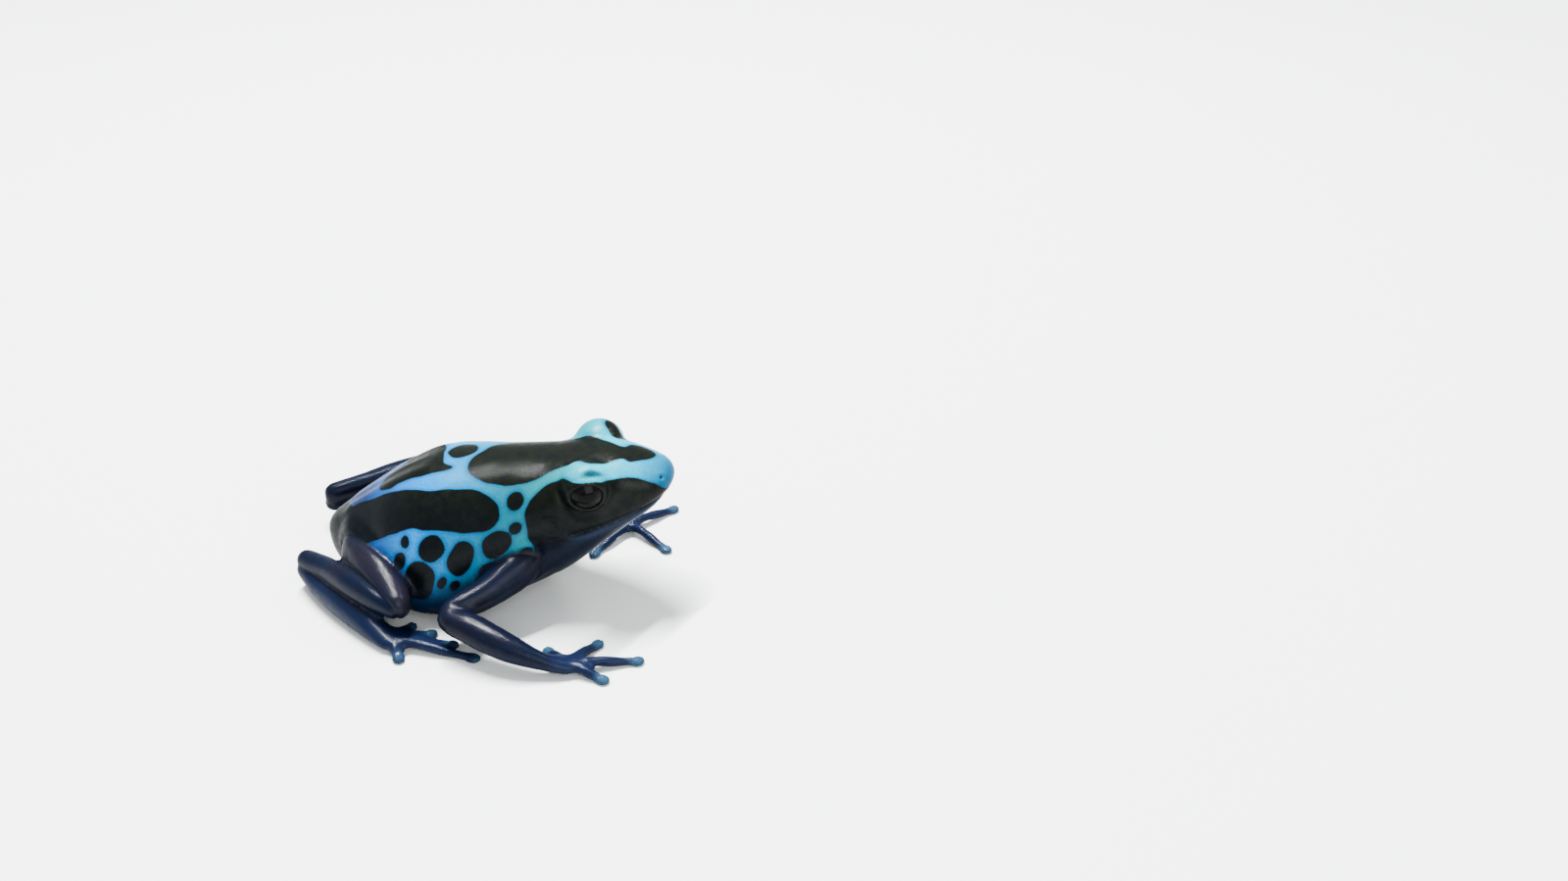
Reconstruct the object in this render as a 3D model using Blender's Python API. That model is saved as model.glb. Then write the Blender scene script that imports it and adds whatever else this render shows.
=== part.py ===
"""Blue poison dart frog, sitting at rest, life size.

The frog is modelled whole in millimetres, +X towards the head, +Y to its left and +Z up, and parted
with thin cuts into the pieces that a person would name. It is brought to metres at the very end.
"""
import math

import bmesh
import bpy
import numpy as np
from mathutils import Matrix, Vector

MILLIMETRE = 0.001

# Driving sizes, in millimetres
GAP = 0.3
VOXEL = 0.25
RING_POINTS = 28
RING_SPACING = 0.5
SOFTENING_ROUNDS = 8
FLOOR = 0.1
CREASE_ANGLE = math.radians(40)
SLIVER = 0.02

# The head is turned a little to the frog's left, about this place in the neck
HEAD_TURN = math.radians(4.5)
NECK_X = 9.0
NECK_LENGTH = 6.0

# Head: eyes, lids, mouth and nostrils
EYE_RADIUS = 2.05
EYE_X = 14.0
EYE_Y = 5.3
EYE_Z = 17.0
EYE_FORWARD = math.radians(14)
EYE_UPWARD = math.radians(3)
LID_RADIUS = 3.05
LID_INSET = 0.45
EYE_OPENING = (2.0, 1.75)
MOUTH_FRONT = (22.4, 14.4)
MOUTH_CORNER = (12.0, 11.3)
MOUTH_DEPTH = 0.6
MOUTH_OPENING = 0.24
MOUTH_FADE = 1.5
MOUTH_STATIONS = 60
MOUTH_CLEARANCE = 1.0
MOUTH_HOLLOW = 0.16
MOUTH_HOLLOW_WIDTH = 0.5
LIP_SWELL = 0.1
LIP_PLACE = 0.9
LIP_WIDTH = 0.4
NOSTRIL = (22.2, 2.2, 16.7)
NOSTRIL_RADIUS = 0.42
NOSTRIL_DEPTH = 0.5

# Feet: digits and their pads
DIGIT_RADIUS = 0.58
DIGIT_TIP_HEIGHT = 0.46
PAD_LENGTH = 1.0
PAD_WIDTH = 0.9
PAD_HEIGHT = 0.55
PAD_CENTRE_FROM_TIP = 0.5
PAD_CENTRE_HEIGHT = 0.41

# Along a digit, from the palm to the tip: share of its length, rise, and share of its thickness
DIGIT_ROWS = ((0.0, 0.0, 1.25), (0.3, 0.3, 1.0), (0.55, 0.15, 1.1), (0.8, 0.0, 0.85), (1.0, 0.0, 0.9))

# The turns that round off the ends of a limb, from its tip
END_TURNS = tuple(math.radians(degrees) for degrees in (80, 60, 40, 20))

# The block under the floor that gives the feet their flats
FLOOR_BLOCK = (80.0, 80.0, 4.0)

# Trunk and head, from the vent to the snout: x, top, underside, half width, height of the widest
# place, squareness of the back
TRUNK = (
    (-19.8, 6.8, 5.8, 0.6, 6.3, 2.1),
    (-19.4, 7.6, 4.7, 1.8, 6.2, 2.1),
    (-18.3, 8.6, 3.1, 3.2, 5.6, 2.1),
    (-16.0, 10.3, 1.6, 5.0, 5.2, 2.1),
    (-12.5, 12.8, 0.6, 7.0, 4.8, 2.1),
    (-9.0, 15.1, 0.3, 9.3, 3.9, 2.1),
    (-5.0, 17.1, 0.2, 10.8, 3.5, 2.1),
    (-1.0, 17.7, 0.3, 10.2, 4.2, 2.2),
    (3.0, 18.1, 0.8, 8.6, 6.8, 2.2),
    (6.5, 18.4, 1.9, 7.7, 9.0, 2.3),
    (9.5, 18.7, 3.2, 7.1, 10.4, 2.4),
    (12.0, 19.0, 5.0, 6.8, 11.6, 2.5),
    (14.5, 19.2, 7.2, 6.5, 12.8, 2.6),
    (16.5, 19.1, 8.9, 6.0, 13.7, 2.6),
    (18.5, 18.7, 10.5, 5.3, 14.4, 2.5),
    (20.5, 18.1, 12.1, 4.4, 15.0, 2.4),
    (21.9, 17.6, 13.4, 3.4, 15.6, 2.3),
    (22.7, 17.2, 14.3, 2.6, 15.9, 2.2),
    (23.2, 16.7, 15.3, 1.6, 16.1, 2.2),
    (23.5, 16.4, 15.9, 0.4, 16.2, 2.2),
)
BELLY_SQUARENESS = 3.9
JAW_SQUARENESS = 2.3

# Limbs, from the root to the end: x, y, z, half width, half height
ARM_RIGHT = (
    (8.2, -3.6, 8.0, 2.8, 3.0),
    (6.4, -6.6, 6.9, 2.5, 2.7),
    (3.6, -10.6, 5.6, 1.8, 1.9),
    (0.0, -14.4, 4.6, 1.35, 1.5),
    (3.4, -15.9, 4.0, 1.75, 1.75),
    (7.4, -17.2, 3.1, 1.6, 1.6),
    (11.8, -17.8, 1.9, 1.0, 1.05),
    (14.2, -17.0, 1.1, 1.5, 0.8),
)
ARM_LEFT = (
    (8.2, 3.6, 8.0, 2.8, 3.0),
    (6.4, 6.8, 6.9, 2.5, 2.7),
    (4.0, 11.0, 5.6, 1.8, 1.9),
    (0.9, 14.9, 4.6, 1.35, 1.5),
    (4.4, 15.1, 4.0, 1.75, 1.75),
    (8.4, 14.3, 3.1, 1.6, 1.6),
    (12.6, 12.8, 1.9, 1.0, 1.05),
    (14.8, 11.7, 1.1, 1.5, 0.8),
)
THIGH_RIGHT = (
    (-14.6, -2.6, 6.4, 2.8, 3.6),
    (-13.0, -5.4, 6.2, 2.9, 3.3),
    (-10.0, -9.2, 5.8, 2.5, 2.8),
    (-7.0, -12.6, 5.1, 1.8, 2.0),
    (-6.0, -13.8, 4.8, 1.2, 1.4),
)
SHANK_RIGHT = (
    (-6.4, -13.6, 4.9, 1.6, 1.8),
    (-9.6, -12.0, 5.0, 1.9, 1.9),
    (-13.5, -9.7, 4.8, 1.8, 1.8),
    (-17.6, -7.0, 4.2, 1.4, 1.5),
    (-21.4, -4.8, 3.6, 1.25, 1.5),
)
FOOT_RIGHT = (
    (-21.6, -5.0, 2.6, 1.2, 1.3),
    (-18.7, -7.7, 2.1, 1.25, 1.45),
    (-14.6, -10.9, 2.0, 1.25, 1.7),
    (-10.6, -13.5, 1.7, 1.3, 1.5),
    (-7.0, -15.3, 1.1, 1.6, 0.9),
)
THIGH_LEFT = (
    (-14.6, 2.6, 6.4, 2.8, 3.6),
    (-13.8, 5.8, 6.2, 2.9, 3.3),
    (-12.2, 10.4, 6.1, 2.5, 2.8),
    (-10.2, 14.6, 5.8, 1.8, 2.0),
    (-9.4, 16.0, 5.6, 1.2, 1.4),
)
SHANK_LEFT = (
    (-9.6, 16.0, 5.7, 1.6, 1.8),
    (-12.8, 15.2, 5.6, 1.9, 1.9),
    (-16.6, 13.4, 5.3, 1.8, 1.8),
    (-20.4, 11.3, 4.8, 1.4, 1.5),
    (-24.0, 9.4, 4.2, 1.25, 1.5),
)
FOOT_LEFT = (
    (-24.3, 9.5, 2.9, 1.2, 1.3),
    (-21.2, 12.6, 2.2, 1.25, 1.45),
    (-17.2, 15.7, 1.9, 1.25, 1.55),
    (-13.2, 18.0, 1.5, 1.3, 1.25),
    (-9.6, 19.4, 1.0, 1.6, 0.8),
)

# Tips of the digits, x and y, the innermost first
FINGERS_RIGHT = ((10.9, -13.9), (16.7, -11.8), (22.2, -14.4), (19.1, -18.4))
FINGERS_LEFT = ((11.4, 5.1), (20.8, 7.4), (19.8, 17.4), (14.6, 18.0))
TOES_RIGHT = ((-5.8, -11.4), (-2.8, -12.6), (0.4, -14.4), (3.6, -16.5), (-5.0, -18.0))
TOES_LEFT = ((-7.4, 15.2), (-4.2, 16.0), (-1.4, 17.8), (1.4, 20.4), (-8.0, 22.2))

# Thin cuts between neighbours: a place, what the cut faces, what it runs along, length and breadth
CUTS = {
    "neck": ((9.3, 0.0, 11.0), (1, 0, 0), (0, 1, 0), 18.0, 22.0),
    "shoulder_r": ((5.0, -8.24, 6.4), (0.29, -0.96, 0), (0.96, 0.29, 0), 8.8, 9.0),
    "shoulder_l": ((5.0, 8.34, 6.4), (0.29, 0.96, 0), (0.96, -0.29, 0), 8.8, 9.0),
    "elbow_r": ((0.0, -14.4, 4.5), (0.2, -0.98, 0), (0.98, 0.2, 0), 6.0, 6.0),
    "elbow_l": ((2.3, 14.3, 4.5), (0.41, 0.91, 0), (0.91, -0.41, 0), 8.5, 6.0),
    "wrist_r": ((12.0, -17.8, 1.8), (1, 0.1, -0.25), (-0.1, 1, 0), 3.2, 3.6),
    "wrist_l": ((12.8, 12.7, 1.8), (0.88, -0.46, -0.25), (0.46, 0.88, 0), 3.2, 3.6),
    "groin_r": ((-12.2, -7.4, 6.0), (-0.49, -0.87, 0), (0.87, -0.49, 0), 16.0, 12.0),
    "groin_l": ((-12.2, 7.4, 6.0), (-0.49, 0.87, 0), (0.87, 0.49, 0), 16.0, 12.0),
    "knee_r": ((-12.1, -10.2, 5.4), (0.62, 0.75, 0.25), (0.77, -0.64, 0), 19.0, 6.8),
    "knee_l": ((-11.7, 14.0, 6.0), (0.68, -0.73, 0.1), (0.73, 0.68, 0), 11.0, 7.0),
    "heel_r": ((-15.4, -9.3, 3.25), (0.25, 0.42, 0.87), (0.82, -0.57, 0.01), 20.0, 6.4),
    "heel_l": ((-20.5, 12.0, 3.5), (0.27, -0.45, 0.85), (0.8, 0.6, 0), 12.0, 5.0),
}

# The nodes: a place inside each, and the triangles that its form needs
NODES = {
    "head": ((15.0, 0.0, 13.0), 3600),
    "torso": ((-2.0, 0.0, 9.0), 2000),
    "upper_arm_r": ((2.6, -11.6, 5.3), 260),
    "upper_arm_l": ((3.0, 12.2, 5.3), 260),
    "forearm_r": ((6.0, -16.8, 3.4), 300),
    "forearm_l": ((7.0, 14.6, 3.4), 300),
    "hand_r": ((14.2, -17.0, 1.1), 800),
    "hand_l": ((14.8, 11.7, 1.1), 800),
    "thigh_r": ((-10.6, -8.8, 6.6), 420),
    "thigh_l": ((-12.4, 9.8, 6.6), 420),
    "shank_r": ((-13.5, -10.2, 4.6), 340),
    "shank_l": ((-16.6, 14.0, 5.0), 340),
    "foot_r": ((-10.6, -13.8, 1.2), 1050),
    "foot_l": ((-13.2, 18.2, 1.2), 1050),
}

# Colours of the skin and the eyes
SKY_BLUE = (0.12, 0.38, 0.62, 1.0)
NAVY = (0.02, 0.03, 0.12, 1.0)
EYE_BLACK = (0.004, 0.004, 0.005, 1.0)


def smooth_rows(rows, spacing):
    """Rows of numbers read from a smooth curve through the given rows, about one spacing apart."""
    rows = np.array(rows, float)
    padded = np.vstack((2 * rows[0] - rows[1], rows, 2 * rows[-1] - rows[-2]))
    result = []
    for before, start, end, after in zip(padded, padded[1:], padded[2:], padded[3:]):
        steps = max(2, math.ceil(np.linalg.norm((end - start)[:3]) / spacing))
        for step in range(steps):
            t = step / steps
            result.append(0.5 * (2 * start + (end - before) * t
                                 + (2 * before - 5 * start + 4 * end - after) * t ** 2
                                 + (3 * start - before - 3 * end + after) * t ** 3))
    result.append(rows[-1])
    return np.array(result)


def closed_loft(name, rings):
    """A closed body from rings of points, with a fan of faces at each end."""
    builder = bmesh.new()
    loops = [[builder.verts.new(point) for point in ring] for ring in rings]
    for lower, upper in zip(loops, loops[1:]):
        for index in range(len(lower)):
            following = (index + 1) % len(lower)
            builder.faces.new((lower[index], lower[following], upper[following], upper[index]))
    for loop, ring in ((loops[0], rings[0]), (loops[-1], rings[-1])):
        centre = builder.verts.new(np.mean(ring, axis=0))
        for index in range(len(loop)):
            builder.faces.new((loop[index], loop[(index + 1) % len(loop)], centre))
    bmesh.ops.recalc_face_normals(builder, faces=builder.faces)
    mesh = bpy.data.meshes.new(name)
    builder.to_mesh(mesh)
    builder.free()
    body = bpy.data.objects.new(name, mesh)
    bpy.context.scene.collection.objects.link(body)
    return body


def squared(value, squareness):
    return np.sign(value) * np.abs(value) ** (2 / squareness)


def trunk_and_head():
    """The trunk with the head: upright sections, flat on the back and round under the belly."""
    rings = []
    turns = np.linspace(0, 2 * math.pi, 2 * RING_POINTS, endpoint=False)
    for x, top, underside, half_width, widest, back_squareness in smooth_rows(TRUNK, RING_SPACING):
        back = np.sin(turns) > 0
        below = np.interp(x, (0, NECK_X), (BELLY_SQUARENESS, JAW_SQUARENESS))
        squareness = np.where(back, back_squareness, below)
        rise = np.where(back, top - widest, widest - underside)
        ring = np.column_stack((
            np.full(len(turns), x),
            half_width * squared(np.cos(turns), squareness),
            widest + rise * squared(np.sin(turns), squareness),
        ))
        rings.append(ring)
    return closed_loft("trunk", rings)


def limb(name, rows):
    """A limb along a smooth curve, oval across, with round ends."""
    stations = smooth_rows(rows, RING_SPACING)
    centres = stations[:, :3]
    tangents = np.gradient(centres, axis=0)
    tangents /= np.linalg.norm(tangents, axis=1)[:, None]
    turns = np.linspace(0, 2 * math.pi, RING_POINTS, endpoint=False)
    rings = []

    def ring(centre, tangent, half_width, half_height):
        side = np.cross(tangent, (0, 0, 1))
        side /= np.linalg.norm(side)
        up = np.cross(side, tangent)
        return (centre + np.outer(np.cos(turns), side) * half_width
                + np.outer(np.sin(turns), up) * half_height)

    reach = min(stations[0, 3:])
    for angle in END_TURNS:
        rings.append(ring(centres[0] - tangents[0] * reach * math.sin(angle), tangents[0],
                          *(stations[0, 3:] * math.cos(angle))))
    for station, centre, tangent in zip(stations, centres, tangents):
        rings.append(ring(centre, tangent, *station[3:]))
    reach = min(stations[-1, 3:])
    for angle in reversed(END_TURNS):
        rings.append(ring(centres[-1] + tangents[-1] * reach * math.sin(angle), tangents[-1],
                          *(stations[-1, 3:] * math.cos(angle))))
    return closed_loft(name, rings)


def ball(name, centre, radii):
    """A round body of three half widths."""
    mesh = bpy.data.meshes.new(name)
    builder = bmesh.new()
    bmesh.ops.create_uvsphere(builder, u_segments=RING_POINTS, v_segments=RING_POINTS // 2, radius=1.0)
    placing = Matrix.Translation(centre) @ Matrix.Diagonal((*radii, 1.0))
    bmesh.ops.transform(builder, matrix=placing, verts=builder.verts)
    builder.to_mesh(mesh)
    builder.free()
    body = bpy.data.objects.new(name, mesh)
    bpy.context.scene.collection.objects.link(body)
    return body


def digit(name, root, tip):
    """A finger or toe: a thin round stalk that arches a little, with a flat disc at its tip."""
    root = np.array(root, float)
    tip = np.array((*tip, DIGIT_TIP_HEIGHT))
    rows = []
    for along, rise, thickness in DIGIT_ROWS:
        point = root + (tip - root) * along
        radius = DIGIT_RADIUS * thickness
        rows.append((point[0], point[1], point[2] + rise, radius, radius))
    stalk = limb(name, rows)
    outward = (tip - root)[:2] / np.linalg.norm((tip - root)[:2])
    pad = ball(name + "_pad", (0, 0, 0), (PAD_LENGTH, PAD_WIDTH, PAD_HEIGHT))
    turn = Matrix.Rotation(math.atan2(outward[1], outward[0]), 4, "Z")
    centre = Vector((*(tip[:2] - outward * PAD_CENTRE_FROM_TIP), PAD_CENTRE_HEIGHT))
    pad.data.transform(Matrix.Translation(centre) @ turn)
    return [stalk, pad]


def head_turned(points, back=False):
    """Points with the head end turned on the neck; back undoes it, for points of the head itself."""
    points = np.array(points, float).reshape(-1, 3)
    along = np.clip((points[:, 0] - NECK_X) / NECK_LENGTH + 0.5, 0, 1)
    angle = HEAD_TURN * along ** 2 * (3 - 2 * along)
    if back:
        angle = np.full(len(points), -HEAD_TURN)
    x = points[:, 0] - NECK_X
    y = points[:, 1]
    return np.column_stack((NECK_X + x * np.cos(angle) - y * np.sin(angle),
                            y * np.cos(angle) + x * np.sin(angle), points[:, 2]))


def mouth_height(x):
    """The height of the mouth line, which rises towards the snout."""
    slope = (MOUTH_FRONT[1] - MOUTH_CORNER[1]) / (MOUTH_FRONT[0] - MOUTH_CORNER[0])
    return MOUTH_CORNER[1] + (x - MOUTH_CORNER[0]) * slope


def mouth_line():
    """The mouth line on the straight head, evenly from the right corner round the snout to the left."""
    right = []
    for x, _, underside, half_width, widest, _ in smooth_rows(TRUNK, RING_SPACING / 5):
        drop = (widest - mouth_height(x)) / (widest - underside)
        if x >= MOUTH_CORNER[0] and drop < 1:
            y = -half_width * (1 - max(drop, 0) ** JAW_SQUARENESS) ** (1 / JAW_SQUARENESS)
            right.append((x, y, mouth_height(x)))
    right = np.array(right)
    line = np.vstack((right, right[::-1] * (1, -1, 1)))
    lengths = np.concatenate(((0,), np.cumsum(np.linalg.norm(np.diff(line, axis=0), axis=1))))
    stations = np.linspace(0, lengths[-1], MOUTH_STATIONS)
    return stations, np.column_stack([np.interp(stations, lengths, line[:, axis]) for axis in range(3)])


def mouth_wedge():
    """The wedge that cuts the closed mouth, sharp inside the head and shallower at the corners."""
    stations, line = mouth_line()
    tangents = np.gradient(line, axis=0)
    outward = np.column_stack((tangents[:, 1], -tangents[:, 0], np.zeros(len(line))))
    outward /= np.linalg.norm(outward, axis=1)[:, None]
    from_corner = np.minimum(stations, stations[-1] - stations)
    depths = MOUTH_DEPTH * np.clip(from_corner / MOUTH_FADE, 0, 1)
    flare = MOUTH_OPENING / 2 * (MOUTH_DEPTH + MOUTH_CLEARANCE) / MOUTH_DEPTH
    rings = []
    for point, away, depth in zip(line, outward, depths):
        clear = point + away * MOUTH_CLEARANCE
        rings.append(head_turned((point - away * depth, clear + (0, 0, flare), clear - (0, 0, flare))))
    return closed_loft("mouth", rings)


def eye_place(side):
    """The eye's centre and the way it looks, on the turned head."""
    centre = np.array((EYE_X, side * EYE_Y, EYE_Z))
    gaze = np.array((math.sin(EYE_FORWARD), side * math.cos(EYE_FORWARD), math.tan(EYE_UPWARD)))
    gaze /= np.linalg.norm(gaze)
    turned_centre, turned_end = head_turned((centre, centre + gaze))
    return Vector(turned_centre), Vector(turned_end - turned_centre).normalized()


def frog_forms():
    """Every form of the frog, closed and sunk into its neighbours."""
    trunk = trunk_and_head()
    for vertex in trunk.data.vertices:
        vertex.co = head_turned(vertex.co)[0]
    forms = [trunk]
    limbs = {
        "arm_r": ARM_RIGHT, "arm_l": ARM_LEFT, "thigh_r": THIGH_RIGHT, "thigh_l": THIGH_LEFT,
        "shank_r": SHANK_RIGHT, "shank_l": SHANK_LEFT, "sole_r": FOOT_RIGHT, "sole_l": FOOT_LEFT,
    }
    for name, rows in limbs.items():
        forms.append(limb(name, rows))
    hands_and_feet = ((ARM_RIGHT, FINGERS_RIGHT), (ARM_LEFT, FINGERS_LEFT),
                      (FOOT_RIGHT, TOES_RIGHT), (FOOT_LEFT, TOES_LEFT))
    for rows, tips in hands_and_feet:
        for tip in tips:
            forms.extend(digit("digit", rows[-1][:3], tip))
    for side in (-1, 1):
        centre, gaze = eye_place(side)
        forms.append(ball("lid", centre - gaze * LID_INSET, (LID_RADIUS, LID_RADIUS, LID_RADIUS)))
    return forms


def applied(body):
    """The body with its modifiers worked into its mesh."""
    evaluated = body.evaluated_get(bpy.context.evaluated_depsgraph_get())
    mesh = bpy.data.meshes.new_from_object(evaluated)
    body.modifiers.clear()
    body.data = mesh
    return body


def combined(body, others, operation):
    """The body with the others joined to it or cut from it by one Boolean."""
    pieces = bpy.data.collections.new("pieces")
    bpy.context.scene.collection.children.link(pieces)
    for other in others:
        bpy.context.scene.collection.objects.unlink(other)
        pieces.objects.link(other)
    boolean = body.modifiers.new("combine", "BOOLEAN")
    boolean.operation = operation
    boolean.solver = "MANIFOLD"
    boolean.operand_type = "COLLECTION"
    boolean.collection = pieces
    applied(body)
    for other in list(pieces.objects):
        bpy.data.objects.remove(other)
    bpy.data.collections.remove(pieces)
    return body


def softened(body):
    """One even skin, with soft hollows where the forms join."""
    remesh = body.modifiers.new("even", "REMESH")
    remesh.mode = "VOXEL"
    remesh.voxel_size = VOXEL
    soften = body.modifiers.new("soften", "SMOOTH")
    soften.factor = 0.5
    soften.iterations = SOFTENING_ROUNDS
    return applied(body)


def sculpted(skin):
    """The soft hollow of the mouth between its lips, and the nostrils, pressed in along the normals."""
    count = len(skin.data.vertices)
    places = np.empty(count * 3)
    normals = np.empty(count * 3)
    skin.data.vertices.foreach_get("co", places)
    skin.data.vertex_normals.foreach_get("vector", normals)
    places = places.reshape(-1, 3)
    normals = normals.reshape(-1, 3)
    straight = head_turned(places, back=True)
    x, y, z = straight.T
    above = z - mouth_height(x)
    reach = np.clip((x - MOUTH_CORNER[0]) / MOUTH_FADE + 0.5, 0, 1)
    groove = -MOUTH_HOLLOW * np.exp(-(above / MOUTH_HOLLOW_WIDTH) ** 2)
    lips = LIP_SWELL * np.exp(-((np.abs(above) - LIP_PLACE) / LIP_WIDTH) ** 2)
    move = reach * (groove + lips)
    for side in (-1, 1):
        pit = np.linalg.norm(straight - np.array((NOSTRIL[0], side * NOSTRIL[1], NOSTRIL[2])), axis=1)
        move -= NOSTRIL_DEPTH * np.exp(-(pit / NOSTRIL_RADIUS) ** 2)
    places += normals * move[:, None]
    skin.data.vertices.foreach_set("co", places.ravel())
    skin.data.update()
    return skin


def block(name, place, facing, along, size):
    """A block of a given length, breadth and thickness; its thickness is the way that it faces."""
    facing = Vector(facing).normalized()
    along = Vector(along)
    along = (along - facing * along.dot(facing)).normalized()
    turn = Matrix((along, facing.cross(along), facing)).transposed().to_4x4()
    builder = bmesh.new()
    bmesh.ops.create_cube(builder, size=1.0)
    placing = Matrix.Translation(place) @ turn @ Matrix.Diagonal((*size, 1.0))
    bmesh.ops.transform(builder, matrix=placing, verts=builder.verts)
    mesh = bpy.data.meshes.new(name)
    builder.to_mesh(mesh)
    builder.free()
    body = bpy.data.objects.new(name, mesh)
    bpy.context.scene.collection.objects.link(body)
    return body


def thin_cut(name, place, facing, along, length, breadth):
    """A thin plate as wide as the gap, which parts the two pieces on its sides."""
    return block(name, place, facing, along, (length, breadth, GAP))


def floor_block():
    """A block whose top is the floor, which gives the feet their flats."""
    return block("floor", (0, 0, FLOOR - FLOOR_BLOCK[2] / 2), (0, 0, 1), (1, 0, 0), FLOOR_BLOCK)


def eye_cuts(side):
    """The round socket behind the eyeball and the oval opening between the lids."""
    centre, gaze = eye_place(side)
    clear = EYE_RADIUS + GAP
    socket = ball("socket", centre, (clear, clear, clear))
    builder = bmesh.new()
    bmesh.ops.create_cone(builder, cap_ends=True, segments=RING_POINTS, radius1=1, radius2=1, depth=1)
    level = Vector((0, 0, 1)).cross(gaze).normalized()
    turn = Matrix((level, gaze.cross(level), gaze)).transposed().to_4x4()
    size = Matrix.Diagonal((*EYE_OPENING, 2 * LID_RADIUS, 1.0))
    place = Matrix.Translation(centre + gaze * LID_RADIUS)
    bmesh.ops.transform(builder, matrix=place @ turn @ size, verts=builder.verts)
    bmesh.ops.recalc_face_normals(builder, faces=builder.faces)
    mesh = bpy.data.meshes.new("opening")
    builder.to_mesh(mesh)
    builder.free()
    opening = bpy.data.objects.new("opening", mesh)
    bpy.context.scene.collection.objects.link(opening)
    return [socket, opening]


def closed_surfaces(mesh):
    """The faces of each closed surface in the mesh."""
    builder = bmesh.new()
    builder.from_mesh(mesh)
    builder.faces.ensure_lookup_table()
    waiting = set(builder.faces)
    surfaces = []
    while waiting:
        edge_of_search = [waiting.pop()]
        surface = []
        while edge_of_search:
            face = edge_of_search.pop()
            surface.append(face.index)
            for edge in face.edges:
                for neighbour in edge.link_faces:
                    if neighbour in waiting:
                        waiting.remove(neighbour)
                        edge_of_search.append(neighbour)
        surfaces.append(surface)
    builder.free()
    return surfaces


def parted(skin):
    """One object for each node: the closed surface nearest to the node's own place."""
    surfaces = [
        (surface, np.array([skin.data.polygons[index].center for index in surface]))
        for surface in closed_surfaces(skin.data)
    ]
    parts = []
    taken = set()
    for name, (place, triangles) in NODES.items():
        reaches = [np.min(np.linalg.norm(centres - np.array(place), axis=1)) for _, centres in surfaces]
        nearest = int(np.argmin(reaches))
        if nearest in taken:
            raise ValueError(name + " is not parted from its neighbour")
        taken.add(nearest)
        builder = bmesh.new()
        builder.from_mesh(skin.data)
        builder.faces.ensure_lookup_table()
        kept = set(surfaces[nearest][0])
        others = [face for face in builder.faces if face.index not in kept]
        bmesh.ops.delete(builder, geom=others, context="FACES")
        mesh = bpy.data.meshes.new(name)
        builder.to_mesh(mesh)
        builder.free()
        part = bpy.data.objects.new(name, mesh)
        bpy.context.scene.collection.objects.link(part)
        parts.append(lightened(part, triangles))
    bpy.data.objects.remove(skin)
    return parts


def tidied(part):
    """The part in triangles, without slivers and doubled faces, and whole where they were."""
    builder = bmesh.new()
    builder.from_mesh(part.data)
    bmesh.ops.remove_doubles(builder, verts=builder.verts, dist=SLIVER)
    bmesh.ops.dissolve_degenerate(builder, edges=builder.edges, dist=SLIVER)
    bmesh.ops.triangulate(builder, faces=builder.faces)
    alike = {}
    for face in builder.faces:
        alike.setdefault(frozenset(face.verts), []).append(face)
    doubled = [face for faces in alike.values() if len(faces) > 1 for face in faces]
    bmesh.ops.delete(builder, geom=doubled, context="FACES")
    torn = {face for edge in builder.edges if len(edge.link_faces) > 2 for face in edge.link_faces}
    bmesh.ops.delete(builder, geom=list(torn), context="FACES")
    loose = [vertex for vertex in builder.verts if not vertex.link_faces]
    bmesh.ops.delete(builder, geom=loose, context="VERTS")
    bare = [edge for edge in builder.edges if not edge.link_faces]
    bmesh.ops.delete(builder, geom=bare, context="EDGES")
    bmesh.ops.holes_fill(builder, edges=[edge for edge in builder.edges if edge.is_boundary], sides=0)
    bmesh.ops.triangulate(builder, faces=builder.faces)
    bmesh.ops.recalc_face_normals(builder, faces=builder.faces)
    builder.to_mesh(part.data)
    builder.free()
    return part


def lightened(part, triangles):
    """The part with only as many triangles as its form needs."""
    tidied(part)
    decimate = part.modifiers.new("lighten", "DECIMATE")
    decimate.ratio = min(1.0, triangles / len(part.data.polygons))
    return tidied(applied(part))


def coloured(part, name, colour, roughness):
    """The part with a plain material, and smooth where the form is."""
    material = bpy.data.materials.get(name) or bpy.data.materials.new(name)
    material.use_nodes = True
    shader = material.node_tree.nodes["Principled BSDF"]
    shader.inputs["Base Color"].default_value = colour
    shader.inputs["Roughness"].default_value = roughness
    part.data.materials.clear()
    part.data.materials.append(material)
    part.data.shade_smooth()
    part.data.set_sharp_from_angle(angle=CREASE_ANGLE)


def set_on_floor(parts):
    """The parts in metres, with their feet on the floor and the middle of their box over the origin."""
    corners = np.array([vertex.co for part in parts for vertex in part.data.vertices])
    middle = (corners.min(axis=0) + corners.max(axis=0)) / 2
    move = Matrix.Translation((-middle[0], -middle[1], -FLOOR))
    for part in parts:
        part.data.transform(Matrix.Scale(MILLIMETRE, 4) @ move)


for old in list(bpy.data.objects):
    bpy.data.objects.remove(old)
forms = frog_forms()
skin = sculpted(softened(combined(forms[0], forms[1:], "UNION")))
plates = [thin_cut(name, *cut) for name, cut in CUTS.items()]
plates.append(mouth_wedge())
for side in (-1, 1):
    plates.extend(eye_cuts(side))
skin = combined(skin, [floor_block()], "DIFFERENCE")
skin = combined(skin, plates, "DIFFERENCE")
flesh = parted(skin)
eyes = []
for side, name in ((-1, "eye_r"), (1, "eye_l")):
    eyes.append(ball(name, eye_place(side)[0], (EYE_RADIUS, EYE_RADIUS, EYE_RADIUS)))
for part in flesh:
    body = part.name in ("head", "torso")
    coloured(part, "skin" if body else "limb_skin", SKY_BLUE if body else NAVY, 0.35)
for eye in eyes:
    coloured(eye, "eye", EYE_BLACK, 0.05)
set_on_floor(flesh + eyes)
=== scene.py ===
import bmesh
import bpy
import math
import numpy as np
from mathutils import Matrix, Vector, noise
from mathutils.bvhtree import BVHTree


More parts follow.
